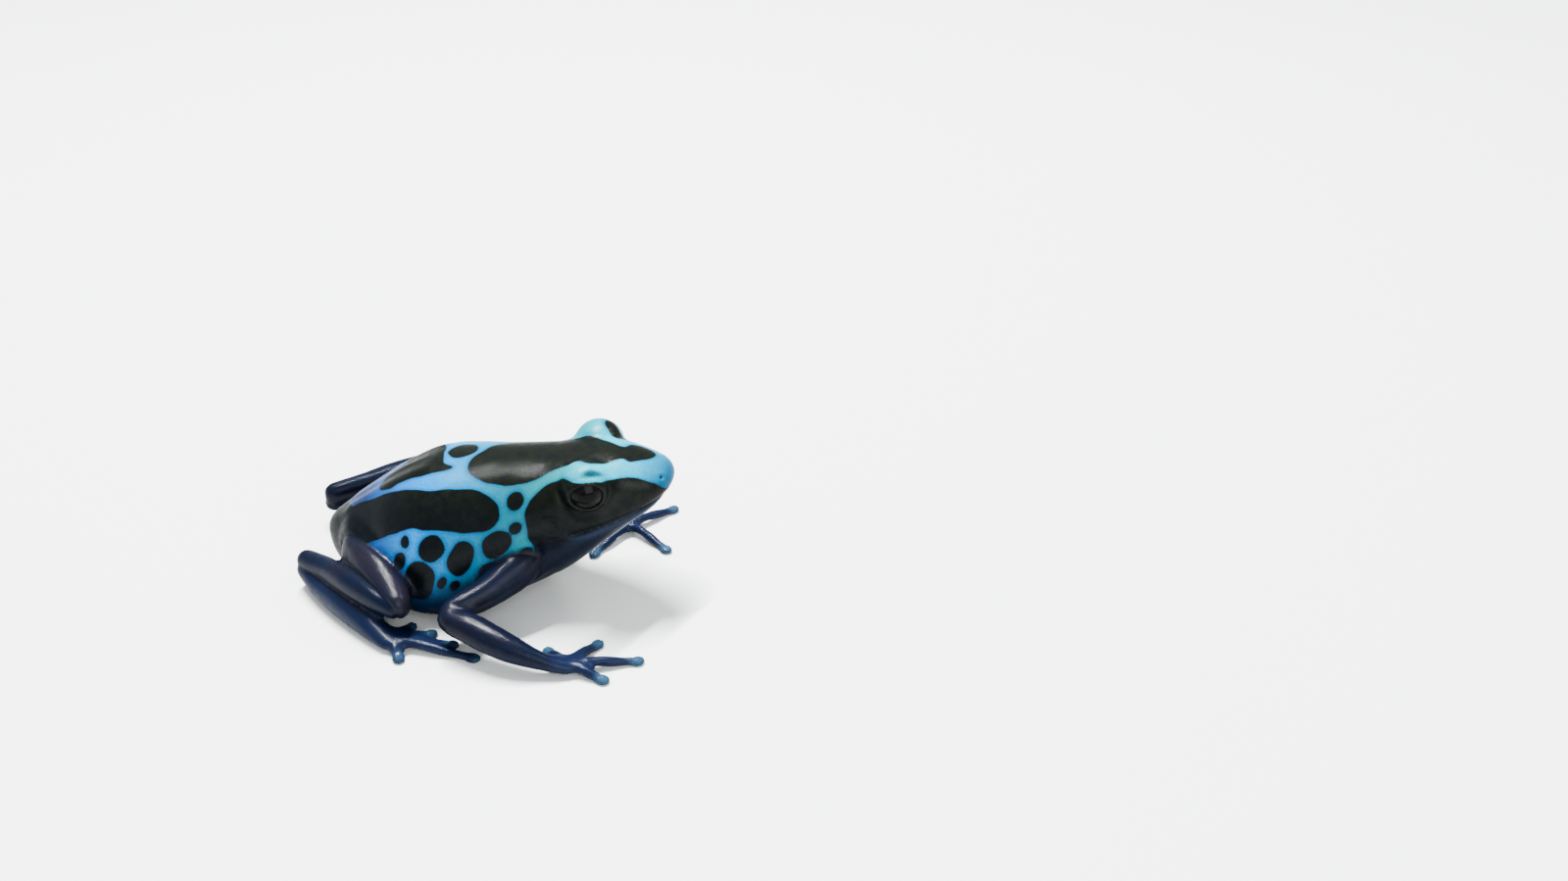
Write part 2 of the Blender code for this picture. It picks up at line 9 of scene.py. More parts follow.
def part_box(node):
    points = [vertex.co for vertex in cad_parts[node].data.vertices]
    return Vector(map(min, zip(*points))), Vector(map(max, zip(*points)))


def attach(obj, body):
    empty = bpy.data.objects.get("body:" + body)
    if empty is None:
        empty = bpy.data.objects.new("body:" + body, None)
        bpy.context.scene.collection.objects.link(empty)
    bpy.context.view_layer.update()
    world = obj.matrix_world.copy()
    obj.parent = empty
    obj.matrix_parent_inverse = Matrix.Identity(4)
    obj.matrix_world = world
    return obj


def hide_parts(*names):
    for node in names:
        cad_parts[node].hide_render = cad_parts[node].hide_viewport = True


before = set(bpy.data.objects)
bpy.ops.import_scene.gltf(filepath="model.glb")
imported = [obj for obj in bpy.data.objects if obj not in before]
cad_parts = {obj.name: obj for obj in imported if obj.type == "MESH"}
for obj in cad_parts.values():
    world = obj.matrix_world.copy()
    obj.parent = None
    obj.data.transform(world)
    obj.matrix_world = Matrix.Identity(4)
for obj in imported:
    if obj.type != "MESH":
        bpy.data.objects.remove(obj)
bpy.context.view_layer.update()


# The view of the model
# The frog is seen from its right and from above, as a person bending over it would see it. The
# lens is fairly wide, and the camera is close, at about three times the frog's length.
MILLIMETRE = 0.001
CAMERA_PLACE = Vector((54.79, -133.95, 98.97)) * MILLIMETRE
CAMERA_TILT_DOWN = math.radians(30)
CAMERA_TURN = math.radians(7.42)
VIEW_WIDTH = math.radians(60)
SENSOR_WIDTH = 36
NEAREST_SEEN = 1 * MILLIMETRE
FURTHEST_SEEN = 10
VIEW_CONTRAST = "AgX - Medium High Contrast"

bpy.ops.object.select_all(action="DESELECT")
bpy.ops.object.camera_add(
    location=CAMERA_PLACE,
    rotation=(math.radians(90) - CAMERA_TILT_DOWN, 0, CAMERA_TURN),
)
camera = bpy.context.object
camera.data.sensor_width = SENSOR_WIDTH
camera.data.lens = SENSOR_WIDTH / 2 / math.tan(VIEW_WIDTH / 2)
camera.data.clip_start = NEAREST_SEEN
camera.data.clip_end = FURTHEST_SEEN
bpy.context.scene.camera = camera
bpy.context.scene.view_settings.look = VIEW_CONTRAST


# The floor
# A wide sheet of pale matt board under the model. It is not part of the model.
FLOOR_WIDTH = 3.0
FLOOR_COLOUR = (0.62, 0.63, 0.62, 1)
FLOOR_ROUGHNESS = 0.7
FLOOR_SPECK_SIZE = 1.1
FLOOR_RELIEF = 0.1
FLOOR_RELIEF_SHARE = 0.05
GRAIN_ROUGHNESS = 0.55
GRAIN_DETAIL = 3.0


def shader_part(tree, kind, inputs=None, **settings):
    """A node of a material, with its settings, and its inputs set to values or joined to sockets."""
    part = tree.nodes.new(kind)
    for name, value in settings.items():
        setattr(part, name, value)
    for name, value in (inputs or {}).items():
        if isinstance(value, bpy.types.NodeSocket):
            tree.links.new(value, part.inputs[name])
        else:
            part.inputs[name].default_value = value
    return part


def new_material(name):
    """A material with its Principled shader, its tree and its place coordinates."""
    material = bpy.data.materials.new(name)
    material.use_nodes = True
    tree = material.node_tree
    shader = tree.nodes["Principled BSDF"]
    place = shader_part(tree, "ShaderNodeTexCoord").outputs["Object"]
    return material, tree, shader, place


def soft_grain_group():
    """A group that gives soft irregular grain, with the grain's size in millimetres."""
    group = bpy.data.node_groups.new("soft_grain", "ShaderNodeTree")
    group.interface.new_socket("Place", in_out="INPUT", socket_type="NodeSocketVector")
    group.interface.new_socket("Size", in_out="INPUT", socket_type="NodeSocketFloat")
    group.interface.new_socket("Detail", in_out="INPUT", socket_type="NodeSocketFloat")
    group.interface.new_socket("Grain", in_out="OUTPUT", socket_type="NodeSocketFloat")
    given = group.nodes.new("NodeGroupInput").outputs
    scale = shader_part(group, "ShaderNodeMath", {0: 1 / MILLIMETRE, 1: given["Size"]}, operation="DIVIDE")
    inputs = {
        "Vector": given["Place"],
        "Scale": scale.outputs["Value"],
        "Detail": given["Detail"],
        "Roughness": GRAIN_ROUGHNESS,
    }
    cloud = shader_part(group, "ShaderNodeTexNoise", inputs).outputs["Fac"]
    group.links.new(cloud, group.nodes.new("NodeGroupOutput").inputs["Grain"])
    return group


soft_grain = soft_grain_group()


def grain(tree, place, size, detail):
    """Places the grain in a material, and gives its socket."""
    inputs = {"Place": place, "Size": size, "Detail": detail}
    return shader_part(tree, "ShaderNodeGroup", inputs, node_tree=soft_grain).outputs["Grain"]


def relief(tree, height, depth, share):
    """A bump of a depth in millimetres, and its socket."""
    inputs = {"Height": height, "Distance": depth * MILLIMETRE, "Strength": share}
    return shader_part(tree, "ShaderNodeBump", inputs).outputs["Normal"]


bpy.ops.mesh.primitive_plane_add(size=FLOOR_WIDTH, location=(0, 0, 0))
floor = bpy.context.object
floor.name = "floor"
material, tree, shader, place = new_material("pale_board")
specks = grain(tree, place, FLOOR_SPECK_SIZE, GRAIN_DETAIL)
shader.inputs["Base Color"].default_value = FLOOR_COLOUR
shader.inputs["Roughness"].default_value = FLOOR_ROUGHNESS
tree.links.new(relief(tree, specks, FLOOR_RELIEF, FLOOR_RELIEF_SHARE), shader.inputs["Normal"])
floor.data.materials.append(material)


# The light
# A soft studio: a long narrow light high over the back, which draws the wet ridges of the limbs,
# a small one from behind, a wide weak one from the camera's side, and pale light from all round.

# Each light's row: name, place in millimetres, width and length, the way its length runs, watts
LIGHTS = (
    ("over_light", (-130, 230, 800), (26, 420), (0.42, 0.9, 0.0), 30),
    ("edge_light", (380, 300, 500), (100, 100), (0.0, 0.0, 1.0), 1.5),
    ("front_light", (420, -560, 380), (600, 600), (0.0, 0.0, 1.0), 6),
)
LIGHT_AIMS_AT = Vector((0, 0, 8)) * MILLIMETRE
ROOM_COLOUR = (0.90, 0.96, 1.0, 1)
ROOM_STRENGTH = 0.95
BACKDROP_COLOUR = (1.1, 1.12, 1.12, 1)

for name, light_place, size, lengthwise, watts in LIGHTS:
    bpy.ops.object.light_add(type="AREA", location=Vector(light_place) * MILLIMETRE)
    light = bpy.context.object
    light.name = name
    light.data.shape = "RECTANGLE"
    light.data.size, light.data.size_y = (width * MILLIMETRE for width in size)
    light.data.energy = watts
    backward = (light.location - LIGHT_AIMS_AT).normalized()
    sideways = Vector(lengthwise).cross(backward).normalized()
    turned = Matrix((sideways, backward.cross(sideways), backward)).transposed()
    light.rotation_euler = turned.to_euler()
room = bpy.context.scene.world or bpy.data.worlds.new("room")
bpy.context.scene.world = room
room.use_nodes = True
tree = room.node_tree
glow = tree.nodes["Background"]
glow.inputs["Color"].default_value = ROOM_COLOUR
glow.inputs["Strength"].default_value = ROOM_STRENGTH
backdrop = shader_part(tree, "ShaderNodeBackground", {"Color": BACKDROP_COLOUR, "Strength": 1.0})
seen = shader_part(tree, "ShaderNodeLightPath").outputs["Is Camera Ray"]
whole = shader_part(tree, "ShaderNodeMixShader", {0: seen, 1: glow.outputs[0], 2: backdrop.outputs[0]})
tree.links.new(whole.outputs[0], tree.nodes["World Output"].inputs["Surface"])


# The skin's form
# One soft, wet skin over the flesh, from the snout to the pads of the toes. It is taken from the
# frame's pieces of flesh, grown until their thin parting cuts close, and shrunk back to size.
WELD = 0.001 * MILLIMETRE
SKIN_SPACING = 0.27 * MILLIMETRE
CUT_CLOSING = 0.28 * MILLIMETRE
SMOOTHING = 0.5
SMOOTHING_ROUNDS = 9
SMOOTHING_LOSS = 0.05 * MILLIMETRE
LAST_SMOOTHING_ROUNDS = 2


def pick(*pieces):
    """Selects these pieces and nothing else."""
    bpy.ops.object.select_all(action="DESELECT")
    for piece in pieces:
        piece.select_set(True)
    bpy.context.view_layer.objects.active = pieces[0]


def worked(piece, kind, **settings):
    """Gives the piece a modifier with these settings and applies it."""
    pick(piece)
    modifier = piece.modifiers.new(kind.title(), kind)
    for name, value in settings.items():
        setattr(modifier, name, value)
    bpy.ops.object.modifier_apply(modifier=modifier.name)


def points_of(piece):
    """The piece's points, in millimetres."""
    flat = np.empty(len(piece.data.vertices) * 3)
    piece.data.vertices.foreach_get("co", flat)
    return flat.reshape(-1, 3) / MILLIMETRE


def set_points(piece, points):
    """Puts the piece's points at these places in millimetres."""
    piece.data.vertices.foreach_set("co", (points * MILLIMETRE).ravel())
    piece.data.update()


def pressed(piece, depths):
    """Moves each point of the piece along its normal, by its own depth in millimetres."""
    normals = np.empty(len(piece.data.vertices) * 3)
    piece.data.vertex_normals.foreach_get("vector", normals)
    set_points(piece, points_of(piece) + normals.reshape(-1, 3) * depths[:, None])


def hill(distance, width):
    """A round hill: one at its middle, and less with the distance from there."""
    return np.exp(-(distance / width) ** 2)


def ridge(distance, form):
    """A round ridge: its form gives its height, the distance where it stands, and its width."""
    height, middle, width = form
    return height * hill(distance - middle, width)


def ramp(value, start, end):
    """Rises smoothly from zero at the start to one at the end."""
    share = np.clip((value - start) / (end - start), 0, 1)
    return share * share * (3 - 2 * share)


flesh_names = [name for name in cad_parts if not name.startswith("eye_")]
flesh = []
for name in flesh_names:
    piece = bpy.data.objects.new(name + "_copy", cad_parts[name].data.copy())
    bpy.context.scene.collection.objects.link(piece)
    flesh.append(piece)
pick(*flesh)
bpy.ops.object.join()
skin = bpy.context.view_layer.objects.active
skin.name = "frog_skin"
skin.data.name = "frog_skin"
bpy.ops.mesh.customdata_custom_splitnormals_clear()
bpy.ops.object.mode_set(mode="EDIT")
bpy.ops.mesh.select_all(action="SELECT")
bpy.ops.mesh.remove_doubles(threshold=WELD)
bpy.ops.object.mode_set(mode="OBJECT")
worked(skin, "DISPLACE", strength=CUT_CLOSING, mid_level=0)
worked(skin, "REMESH", mode="VOXEL", voxel_size=SKIN_SPACING)
worked(skin, "SMOOTH", factor=SMOOTHING, iterations=SMOOTHING_ROUNDS)
worked(skin, "DISPLACE", strength=SMOOTHING_LOSS - CUT_CLOSING, mid_level=0)
worked(skin, "SMOOTH", factor=SMOOTHING, iterations=LAST_SMOOTHING_ROUNDS)


# The forms of the head
# The mouth is a fine closed line between soft lips. The lids are thick smooth rims round the
# eyes. The nostrils are small pits near the snout, and the eardrums lie behind the eyes.

# Places count from the neck along the head, across it, and above the floor. A form is its height,
# where it stands, and its width. All are in millimetres.
NECK_PLACE = (9.998, -1.758)
HEAD_TURN = math.radians(4.5)
MOUTH_CORNER = (3.0, 11.2)
MOUTH_FRONT = (13.4, 14.3)
MOUTH_LINE = (-0.36, 0.0, 0.2)
MOUTH_SETS_IN = (-0.5, 1.2)
FINE_MOUTH_REACH = 0.5
FINE_MOUTH_START = -0.6
UPPER_LIP = (0.1, 0.38, 0.28)
LOWER_LIP = (0.07, -0.5, 0.3)
CORNER_BULGE = (0.12, 0.0, 0.7)
CORNER_BULGE_PLACE = (2.4, -0.2)
CORNER_BULGE_ASIDE = 2
LIP_SMOOTHING_ROUNDS = 9
LIP_SMOOTHING_START = 1.8
LIP_SMOOTHING_MIDDLE = -0.1
LIP_SMOOTHING_REACH = 0.8
NOSTRIL = (13.2, 2.2, 16.6)
NOSTRIL_PIT = (-0.3, 0.0, 0.2)
NOSTRIL_RIM = (0.1, 0.45, 0.2)
FINE_NOSTRIL_REACH = 0.8
EARDRUM = (0.9, 6.6, 12.4)
EARDRUM_RADIUS = 1.15
EARDRUM_RIM = (0.05, EARDRUM_RADIUS, 0.2)
EARDRUM_DEPTH = 0.1
EARDRUM_FLAT_RADIUS = 0.6
CHEEK_HOLLOW_PLACE = (9.6, 5.2, 15.3)
CHEEK_HOLLOW = (-0.22, 0.0, 1.7)
TEMPLE_PLACE = (1.9, 4.4, 15.9)
TEMPLE = (0.32, 0.0, 1.7)
EYE_FORWARD = math.radians(14)
EYE_UPWARD = math.radians(3)
LID_OPENING = (2.0, 1.75)
LID_REACH = 3.6
LID_RIM = (0.1, 1.14, 0.12)
LID_CREASE = (-0.09, 1.42, 0.1)
FINE_LID = (0.9, 1.55)
FINE_LID_REACH = 3.5
UPPER_LID_SLIDE = 10
LOWER_LID_SLIDE = 5
UPPER_LID_RISE = (-0.6, 0.9)
SLIDE_ANGLES = (62, 100)
SLIDE_REACHES = (3.1, 4.3)


def head_place(points):
    """Where points lie along the head from the neck, across it, and above the floor."""
    along = points[:, 0] - NECK_PLACE[0]
    aside = points[:, 1] - NECK_PLACE[1]
    return np.column_stack((along * math.cos(HEAD_TURN) + aside * math.sin(HEAD_TURN),
                            aside * math.cos(HEAD_TURN) - along * math.sin(HEAD_TURN), points[:, 2]))


def above_mouth(head):
    """How far places on the head lie above the mouth line."""
    slope = (MOUTH_FRONT[1] - MOUTH_CORNER[1]) / (MOUTH_FRONT[0] - MOUTH_CORNER[0])
    return head[:, 2] - MOUTH_CORNER[1] - (head[:, 0] - MOUTH_CORNER[0]) * slope


def from_place(head, spot):
    """How far places on the head lie from a spot, or from its mirrored spot on the other side."""
    across = np.abs(head[:, 1])
    return np.linalg.norm(np.column_stack((head[:, 0], across, head[:, 2])) - np.array(spot), axis=1)


def eye_facts(side):
    """The eye's centre, the way it looks, its level direction and its upward one."""
    low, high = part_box("eye_r" if side < 0 else "eye_l")
    centre = np.array((low + high) / 2) / MILLIMETRE
    turn = side * (math.radians(90) - EYE_FORWARD) + HEAD_TURN
    gaze = Vector((math.cos(turn), math.sin(turn), math.tan(EYE_UPWARD))).normalized()
    level = Vector((0, 0, 1)).cross(gaze).normalized()
    return centre, np.array(gaze), np.array(level), np.array(gaze.cross(level))


def lid_place(points, side):
    """How far points lie out from the lid's opening, towards the gaze, and from the eye's centre."""
    centre, gaze, level, upward = eye_facts(side)
    offset = points - centre
    rim = np.hypot(offset @ level / LID_OPENING[0], offset @ upward / LID_OPENING[1])
    return rim, offset @ gaze, np.linalg.norm(offset, axis=1)


def lids_drawn_in(points, side):
    """Slides the lids' edges over an eye's ball towards its front, the upper lid furthest."""
    centre, gaze, level, upward = eye_facts(side)
    offset = points - centre
    reach = np.linalg.norm(offset, axis=1)
    flat = offset - np.outer(offset @ gaze, gaze)
    aside = np.maximum(np.linalg.norm(flat, axis=1), 1e-6)
    angle = np.arctan2(aside, offset @ gaze)
    upper = ramp(flat @ upward / aside, *UPPER_LID_RISE)
    slide = LOWER_LID_SLIDE + (UPPER_LID_SLIDE - LOWER_LID_SLIDE) * upper
    slide *= (1 - ramp(np.degrees(angle), *SLIDE_ANGLES)) * (1 - ramp(reach, *SLIDE_REACHES))
    angle = angle - np.radians(slide)
    turned = np.outer(np.cos(angle) * reach, gaze) + flat * (np.sin(angle) * reach / aside)[:, None]
    return np.where((slide > 0)[:, None], centre + turned, points)


def made_finer(piece, chosen):
    """Splits the faces whose points are all chosen, for forms finer than the skin's spacing."""
    pick(piece)
    bpy.ops.object.mode_set(mode="EDIT")
    bpy.ops.mesh.select_mode(type="FACE")
    bpy.ops.mesh.select_all(action="DESELECT")
    builder = bmesh.from_edit_mesh(piece.data)
    for face in builder.faces:
        face.select = all(chosen[vertex.index] for vertex in face.verts)
    bmesh.update_edit_mesh(piece.data)
    bpy.ops.mesh.subdivide(number_cuts=1, smoothness=0)
    bpy.ops.object.mode_set(mode="OBJECT")


points = points_of(skin)
head = head_place(points)
near_mouth = head[:, 0] > MOUTH_CORNER[0] + FINE_MOUTH_START
near_mouth &= np.abs(above_mouth(head)) < FINE_MOUTH_REACH
near_nostril = from_place(head, NOSTRIL) < FINE_NOSTRIL_REACH
near_eye = np.zeros(len(points), bool)
for side in (-1, 1):
    rim, outward, reach = lid_place(points, side)
    near_eye |= (reach < FINE_LID_REACH) & (outward > 0) & (rim > FINE_LID[0]) & (rim < FINE_LID[1])
made_finer(skin, near_mouth | near_nostril | near_eye)

points = points_of(skin)
head = head_place(points)
above = above_mouth(head)
in_mouth = ramp(head[:, 0] - MOUTH_CORNER[0], *MOUTH_SETS_IN)
from_corner = np.hypot(head[:, 0] - CORNER_BULGE_PLACE[0], above - CORNER_BULGE_PLACE[1])
from_nostril = from_place(head, NOSTRIL)
from_eardrum = from_place(head, EARDRUM)
depths = in_mouth * (ridge(above, MOUTH_LINE) + ridge(above, UPPER_LIP) + ridge(above, LOWER_LIP))
depths += ridge(from_corner, CORNER_BULGE) * (np.abs(head[:, 1]) > CORNER_BULGE_ASIDE)
depths += ridge(from_nostril, NOSTRIL_RIM) + ridge(from_nostril, NOSTRIL_PIT)
depths += ridge(from_eardrum, EARDRUM_RIM)
depths -= EARDRUM_DEPTH * (1 - ramp(from_eardrum, EARDRUM_FLAT_RADIUS, EARDRUM_RADIUS))
depths += ridge(from_place(head, CHEEK_HOLLOW_PLACE), CHEEK_HOLLOW)
depths += ridge(from_place(head, TEMPLE_PLACE), TEMPLE)
for side in (-1, 1):
    rim, outward, reach = lid_place(points, side)
    dome = (reach < LID_REACH) & (outward > 0)
    depths += dome * (ridge(rim, LID_RIM) + ridge(rim, LID_CREASE))
pressed(skin, depths)
lips = skin.vertex_groups.new(name="lips")
on_lips = head[:, 0] > LIP_SMOOTHING_START
on_lips &= np.abs(above - LIP_SMOOTHING_MIDDLE) < LIP_SMOOTHING_REACH
lips.add(np.flatnonzero(on_lips).tolist(), 1.0, "REPLACE")
worked(skin, "SMOOTH", factor=SMOOTHING, iterations=LIP_SMOOTHING_ROUNDS, vertex_group=lips.name)
skin.vertex_groups.clear()
points = points_of(skin)
for side in (-1, 1):
    points = lids_drawn_in(points, side)
set_points(skin, points)


# The forms of the trunk and the limbs
# Soft folds where the limbs leave the trunk and where the folded leg lies on itself, the hips and
# the tail bone under the skin of the back, and two small plates on top of each toe's pad.
NEAR = 3.0
MIDLINE = -1.76

# Each fold's row: the two pieces that it lies between, its depth and its width in millimetres
FOLDS = (
    ("torso", "thigh", 0.3, 0.6), ("torso", "upper_arm", 0.22, 0.5), ("thigh", "shank", 0.5, 0.4),
    ("shank", "foot", 0.4, 0.4), ("upper_arm", "forearm", 0.2, 0.4),
)
JOINT_TIPS = (
    (-5.2, -15.4, 4.8), (-8.4, 14.4, 5.6), (-20.6, -6.6, 3.0), (-23.2, 7.7, 3.4),
    (1.0, -16.1, 4.5), (2.6, 13.2, 4.5),
)
JOINT_TIP_REACH = 2.2
BACK_FROM = 6
HIP_BONES = ((-4.2, 2.7), (-15.0, 1.9))
HIP_BONE_HEIGHT = 0.16
HIP_BONE_WIDTH = 0.9
TAIL_BONE_RISE = (-17.5, -14)
TAIL_BONE_END = (-8, -4)
TAIL_BONE_HEIGHT = 0.12
TAIL_BONE_WIDTH = 0.6
DIGIT_TIPS = (
    (11.9, -15.66), (17.7, -13.56), (23.2, -16.16), (20.1, -20.16),
    (12.4, 3.34), (21.8, 5.64), (20.8, 15.64), (15.6, 16.24),
    (-4.8, -13.16), (-1.8, -14.36), (1.4, -16.16), (4.6, -18.26), (-4.0, -19.76),
    (-6.4, 13.44), (-3.2, 14.24), (-0.4, 16.04), (2.4, 18.64), (-7.0, 20.44),
)
PALMS = ((15.2, -18.76), (15.8, 9.94), (-6.0, -17.06), (-8.6, 17.64))
PAD_HEIGHT = 0.4
PAD_REACH = 1.1
PAD_SETBACK = 0.45
PAD_TOP = (0.35, 0.6)
PAD_EDGE = (0.8, 1.1)
PLATE_PARTING = (-0.09, 0.0, 0.12)
PLATE_END = (-0.07, -0.5, 0.14)


def reach_of(node, points):
    """How far each point lies from a piece of the frame, in millimetres, where it is near."""
    low, high = (np.array(corner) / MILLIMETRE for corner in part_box(node))
    tree = BVHTree.FromObject(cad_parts[node], bpy.context.evaluated_depsgraph_get())
    reach = np.full(len(points), NEAR)
    close = np.all((points > low - NEAR) & (points < high + NEAR), axis=1)
    for index in np.flatnonzero(close):
        reach[index] = min(NEAR, tree.find_nearest(Vector(points[index]) * MILLIMETRE)[3] / MILLIMETRE)
    return reach


def pad_places(points):
    """How far each point lies from the nearest pad's middle, and across and along that digit."""
    distance = np.full(len(points), NEAR)
    across = np.zeros(len(points))
    along = np.zeros(len(points))
    for tip in DIGIT_TIPS:
        tip = np.array(tip)
        palm = min((np.array(palm) for palm in PALMS), key=lambda palm: np.linalg.norm(palm - tip))
        outward = (tip - palm) / np.linalg.norm(tip - palm)
        offset = points[:, :2] - (tip - outward * PAD_SETBACK)
        reach = np.linalg.norm(np.column_stack((offset, points[:, 2] - PAD_HEIGHT)), axis=1)
        nearer = reach < distance
        distance = np.where(nearer, reach, distance)
        along = np.where(nearer, offset @ outward, along)
        across = np.where(nearer, offset @ np.array((-outward[1], outward[0])), across)
    return distance, across, along


points = points_of(skin)
made_finer(skin, (pad_places(points)[0] < PAD_REACH) & (points[:, 2] > PAD_HEIGHT))
points = points_of(skin)
reaches = {name: reach_of(name, points) for name in flesh_names}
depths = np.zeros(len(points))
# How deep in a fold each point lies, kept for the painted shade in the creases
crease_shade = np.zeros(len(points))
away_from_tips = np.ones(len(points))
for tip in JOINT_TIPS:
    away_from_tips *= 1 - hill(np.linalg.norm(points - np.array(tip), axis=1), JOINT_TIP_REACH)
for first, second, depth, width in FOLDS:
    for side in ("_r", "_l"):
        one = reaches[first if first == "torso" else first + side]
        other = reaches[second + side]
        fold = hill(np.maximum(one, other), width) * away_from_tips
        depths -= depth * fold
        crease_shade = np.maximum(crease_shade, fold)
on_back = points[:, 2] > BACK_FROM
for side in (-1, 1):
    start, end = (np.array((x, side * y + MIDLINE)) for x, y in HIP_BONES)
    share = np.clip((points[:, :2] - start) @ (end - start) / np.sum((end - start) ** 2), 0, 1)
    beside = np.linalg.norm(points[:, :2] - start - share[:, None] * (end - start), axis=1)
    depths += HIP_BONE_HEIGHT * hill(beside, HIP_BONE_WIDTH) * on_back
on_tail_bone = ramp(points[:, 0], *TAIL_BONE_RISE) * (1 - ramp(points[:, 0], *TAIL_BONE_END)) * on_back
depths += TAIL_BONE_HEIGHT * hill(points[:, 1] - MIDLINE, TAIL_BONE_WIDTH) * on_tail_bone
from_pad, across_pad, along_pad = pad_places(points)
on_pad = ramp(points[:, 2], *PAD_TOP) * (1 - ramp(from_pad, *PAD_EDGE))
depths += on_pad * ridge(across_pad, PLATE_PARTING) * (along_pad > PLATE_END[1])
depths += on_pad * ridge(along_pad, PLATE_END)
pressed(skin, depths)
points = points_of(skin)
points[:, 2] = np.maximum(points[:, 2], 0)
set_points(skin, points)


# The markings
# Near-black patches and round spots lie in a net of blue, and each frog has its own. Each patch
# is an outline on the unrolled skin: places along the body and turns round it from the back.
AXIS_HEIGHTS = ((-20, 5.5), (0, 9.0), (12, 12.5), (23, 15.0))
GIRTH_PER_DEGREE = 0.17
CURVE_STEPS = 6
EDGE_REACH = 2.5
WOBBLE = 0.28
WOBBLE_SIZE = 2.2
WOBBLE_SEED = 4
RUMP_EDGE = -14.6
RUMP_WAVES = ((1.3, 2, -30), (0.52, 5, 60))
UNDERSIDE_TURNS = (98, 120)
LIP_SETS_IN = (-1.5, 2)
LIP_LIGHT_BAND = (1.0, -0.75, 0.55)
MOUTH_SHADE_WIDTH = 0.16
NOSTRIL_SHADE_WIDTH = 0.17
PAD_FADE = (0.5, 1.5)
HAND_START = 8
SHADED_HIND_PAD_SHARE = 0.55
LID_SHADE_SOFTNESS = 0.3
BODY_KINDS = ("head", "torso")
LIMB_KINDS = ("upper_arm", "forearm", "hand", "thigh", "shank", "foot")
KIND_FADE = (-0.6, 1.8)
PATCHES = {
    "middle of the back": (
        (1.2, -26), (3.4, -35), (5.6, -41), (7.6, -42), (9.4, -39), (12.3, -30), (14.3, -32), (16.0, -36),
        (17.2, -31), (18.8, -19), (20.1, -23), (21.8, -4), (22.0, 24), (20.6, 33), (19.2, 25), (18.4, 9),
        (16.4, 17), (14.1, 25), (10.6, 28), (7.2, 24), (3.6, 17), (1.7, 2), (0.8, -14)),
    "rear of the back": (
        (-0.9, -19.5), (-2.4, -13), (-2.9, 0), (-3.6, 13), (-5.0, 22), (-8.0, 18), (-10.2, 2),
        (-10.8, -12), (-10.4, -24), (-9.0, -28), (-7.4, -24), (-3.4, -24)),
    "right flank": (
        (-7.7, -33), (-4.2, -37), (-0.3, -39), (2.9, -43), (5.2, -55), (5.6, -63), (5.4, -71), (4.4, -77),
        (2.0, -75), (-1.0, -69), (-3.4, -67), (-6.0, -67), (-8.5, -73), (-11.2, -78), (-14.0, -85),
        (-17.5, -80), (-17.5, -45), (-14.5, -32), (-11.0, -31)),
    "right cheek and throat": (
        (8.9, -89), (8.6, -70), (8.8, -62), (9.2, -56), (10.9, -47), (13.1, -46), (14.9, -52), (17.2, -54),
        (18.0, -52), (20.3, -51), (22.5, -62), (23.6, -76), (25.0, -100), (25.0, -180), (9.0, -180),
        (8.6, -130), (9.3, -108)),
    "left cheek and throat": (
        (9.2, 84), (8.8, 68), (9.6, 55), (11.2, 46), (13.4, 47), (15.2, 53), (17.4, 56), (18.6, 53),
        (20.8, 54), (22.8, 64), (24.0, 80), (25.0, 100), (25.0, 180), (9.0, 180), (8.4, 132), (9.6, 108)),
    "left flank, front": (
        (5.0, 44), (6.6, 52), (6.2, 68), (3.8, 79), (0.4, 76), (-2.2, 68), (-2.0, 50), (1.4, 40)),
    "left flank, rear": (
        (-4.4, 36), (-3.6, 52), (-4.8, 68), (-8.5, 76), (-12.0, 84), (-17.0, 84), (-17.5, 48),
        (-14.0, 34), (-10.0, 31), (-6.5, 32)),
}

# Each spot's row: its place along the body, its turn in degrees, half its length, half its turns
LID_SHADE = (16.45, -46.6, 1.0, 3.2)
SPOTS = (
    (-0.8, 3, 1.75, 11), (7.3, -57, 0.9, 8.5), (7.5, -81.5, 0.75, 5.5), (-2.1, -80.5, 1.6, 9.5),
    (1.2, -92, 1.5, 12), (5.3, -91, 1.75, 11), (-5.4, -75, 0.65, 5), (-6.1, -88.5, 0.9, 5.5),
    (-3.6, -101, 1.8, 12), (-1.0, -105, 0.55, 4), (0.4, -109.5, 0.55, 3.5), (4.4, -108, 1.4, 5),
    (8.3, -108, 0.8, 5), (16.8, 39, 1.5, 7.5),
    (8.1, 64, 0.9, 8), (7.6, 84, 0.8, 6), (-1.4, 84, 1.5, 8), (2.4, 93, 1.4, 10), (5.9, 98, 1.4, 9),
    (-5.6, 84, 0.8, 6), (-3.9, 99, 1.7, 10), (-0.6, 107, 0.7, 5), (-7.6, 96, 0.9, 6), (-1.6, 30, 0.8, 5),
    (6.2, -128, 1.3, 9), (2.2, -128, 1.6, 10), (-2.8, -131, 1.5, 9), (-7.6, -118, 1.2, 8),
    (-8.4, -140, 1.8, 11), (-12.4, -125, 1.3, 10), (4.4, -152, 1.8, 12), (-0.4, -156, 1.9, 10),
    (-5.0, -158, 1.5, 9), (-12.6, -160, 1.6, 14), (6.0, 178, 1.5, 12), (1.6, 176, 1.2, 9),
    (-3.0, 174, 1.4, 9), (-8.6, 172, 1.9, 12), (5.6, 150, 1.5, 11), (1.0, 148, 1.7, 10),
    (-4.4, 146, 1.6, 10), (-9.8, 142, 1.4, 10), (6.4, 124, 1.2, 9), (2.6, 121, 1.2, 8),
    (-2.2, 122, 1.3, 9), (-7.0, 118, 1.3, 8), (-12.4, 122, 1.4, 10),
)


